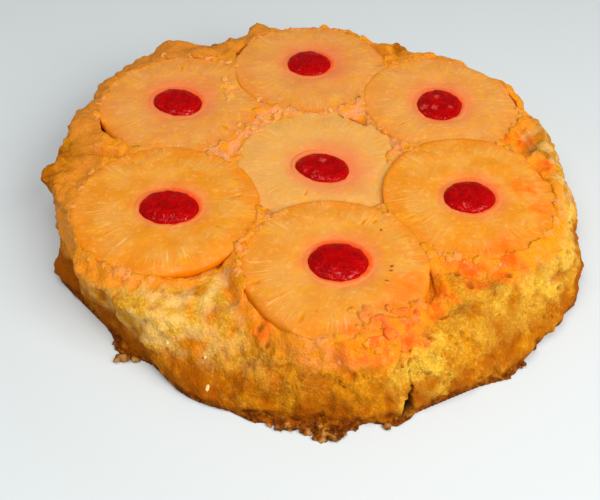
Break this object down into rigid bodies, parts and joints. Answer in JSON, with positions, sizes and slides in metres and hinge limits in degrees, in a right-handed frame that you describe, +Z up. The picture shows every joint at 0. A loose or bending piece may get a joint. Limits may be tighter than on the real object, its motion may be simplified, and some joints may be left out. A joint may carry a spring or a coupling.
{
  "type": "pineapple upside down cake",
  "caption": "Low round sponge cake with torn, wavy sides, topped with sunken pineapple rings that each hold a flattened cherry.",
  "frame": {"origin": "middle of the cake's outline, on the plane that its underside rests on", "axes": "+Z up out of the fruit side, -Y towards the front of the picture, +X to its right"},
  "size_m": [0.268, 0.2658, 0.0397],
  "materials": {
    "sponge": "open golden-yellow crumb, browner low down and on its torn crust, with orange and pink caramel stains on top",
    "pineapple": "wet, translucent yellow-orange fruit with fine radial fibres",
    "cherry": "wet, wrinkled deep red fruit"
  },
  "bodies": {
    "root": {"cake": "sponge", "pineapple_ring_front": "pineapple", "pineapple_ring_right": "pineapple", "pineapple_ring_back_right": "pineapple", "pineapple_ring_back": "pineapple", "pineapple_ring_left": "pineapple", "pineapple_ring_back_left": "pineapple", "pineapple_ring_middle": "pineapple", "cherry_front": "cherry", "cherry_right": "cherry", "cherry_back_right": "cherry", "cherry_back": "cherry", "cherry_left": "cherry", "cherry_back_left": "cherry", "cherry_middle": "cherry"}
  },
  "joints": []
}
